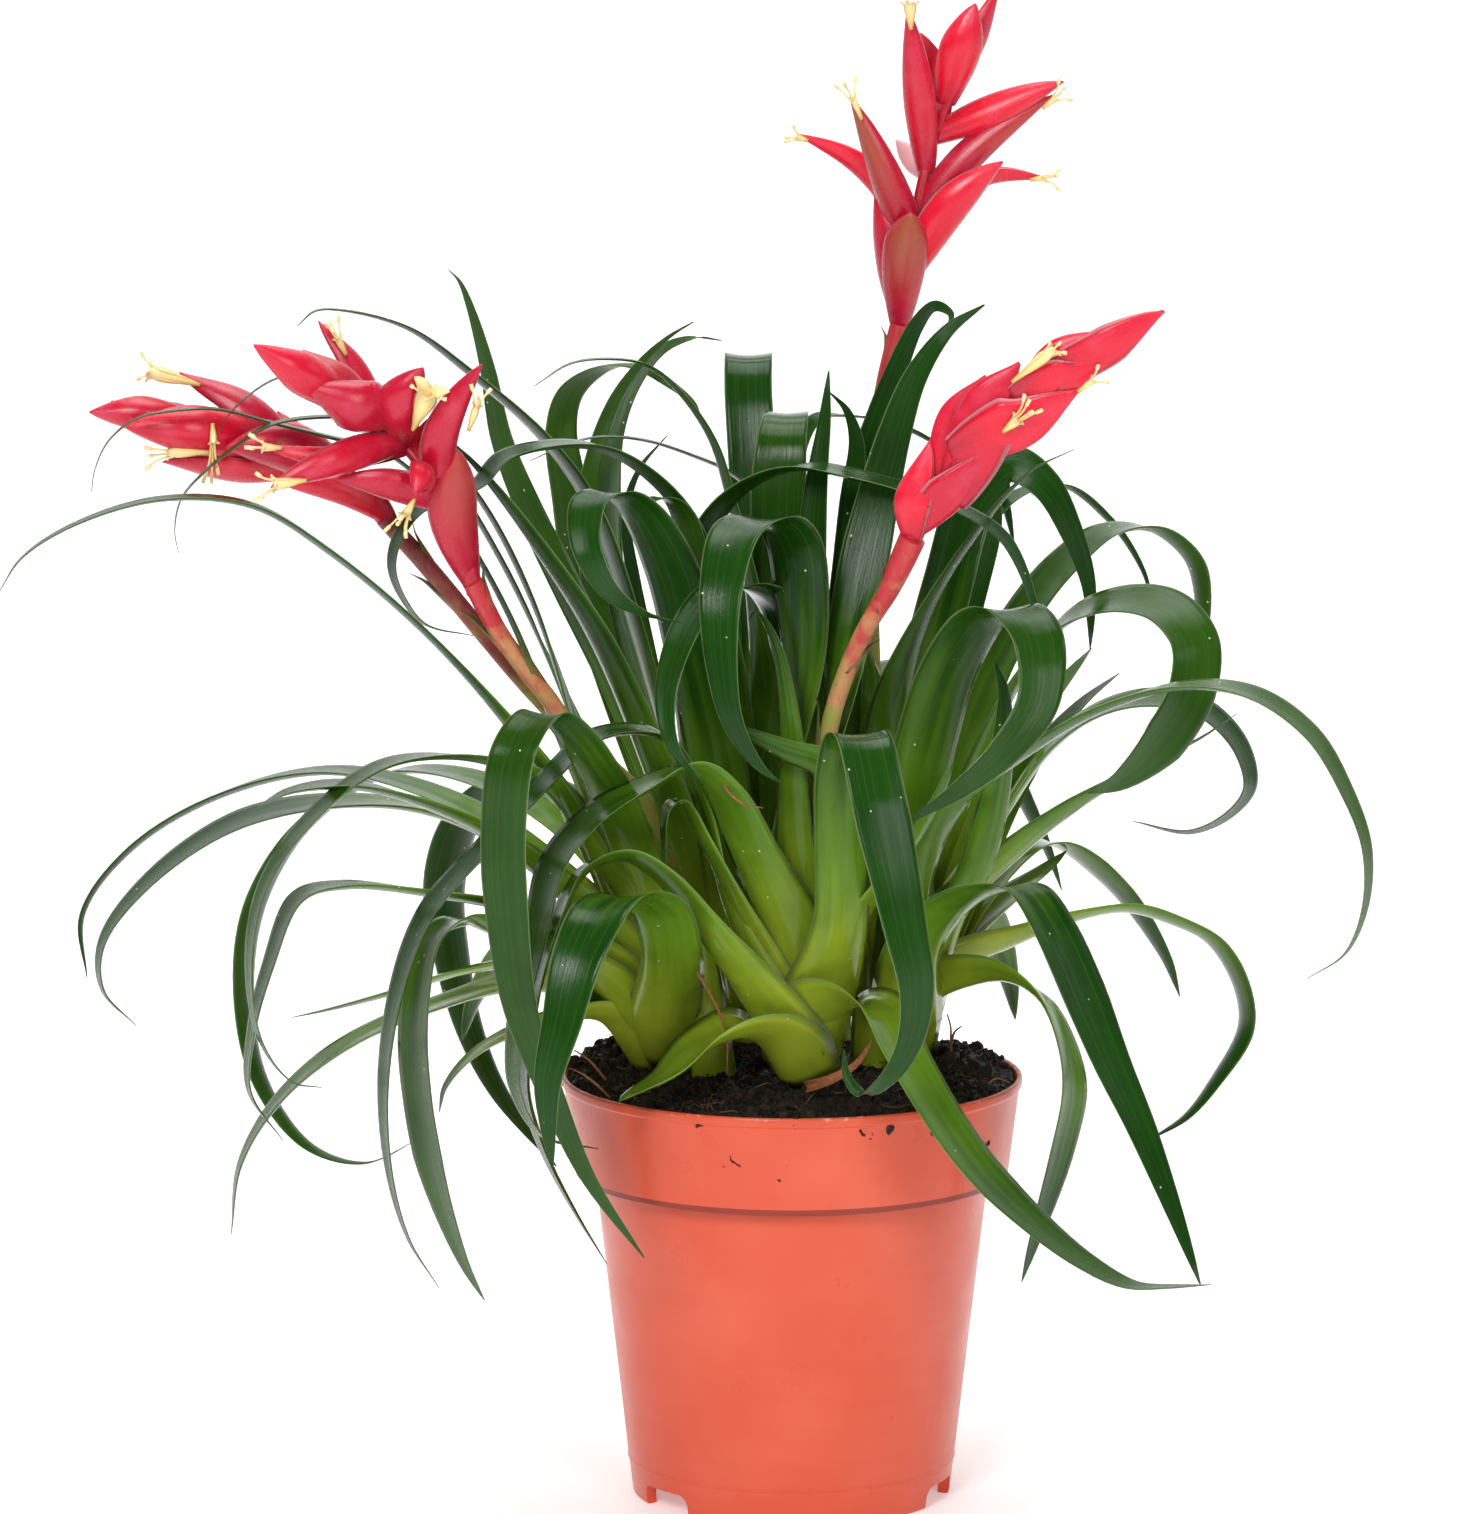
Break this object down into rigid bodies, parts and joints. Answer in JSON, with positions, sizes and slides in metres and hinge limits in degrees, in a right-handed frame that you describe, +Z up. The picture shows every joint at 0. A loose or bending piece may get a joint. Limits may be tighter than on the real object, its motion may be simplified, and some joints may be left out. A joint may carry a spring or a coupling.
{
  "type": "potted flowering bromeliad",
  "caption": "Bromeliad plant with arching strap leaves and red flower heads on stalks, growing in a tapered plastic pot.",
  "frame": {"origin": "under the middle of the whole plant's box, on the surface that the pot stands on; the pot's axis is 29 mm to +X and 21 mm to -Y of it", "axes": "+Z up along the pot's axis; -Y towards the side seen first; +X to the right of that side"},
  "size_m": [0.376, 0.2602, 0.4232],
  "materials": {
    "pot_plastic": "satin",
    "soil": "matte",
    "leaf": "satin",
    "stalk": "satin",
    "bract": "satin",
    "flower": "satin"
  },
  "bodies": {
    "root": {"pot": "pot_plastic", "soil": "soil", "rosette_front": "leaf", "rosette_left": "leaf", "rosette_right": "leaf", "rosette_back": "leaf", "stalk_tall": "stalk", "stalk_sword": "stalk", "stalk_near": "stalk", "stalk_far": "stalk", "bracts_tall": "bract", "bracts_sword": "bract", "bracts_near": "bract", "bracts_far": "bract", "flower_tall_0": "flower", "flower_tall_1": "flower", "flower_tall_2": "flower", "flower_tall_3": "flower", "flower_tall_4": "flower", "flower_sword_5": "flower", "flower_sword_6": "flower", "flower_sword_7": "flower", "flower_near_8": "flower", "flower_near_9": "flower", "flower_near_10": "flower", "flower_near_11": "flower", "flower_near_12": "flower", "flower_near_13": "flower", "flower_far_14": "flower", "flower_far_15": "flower", "flower_far_16": "flower"}
  },
  "joints": []
}
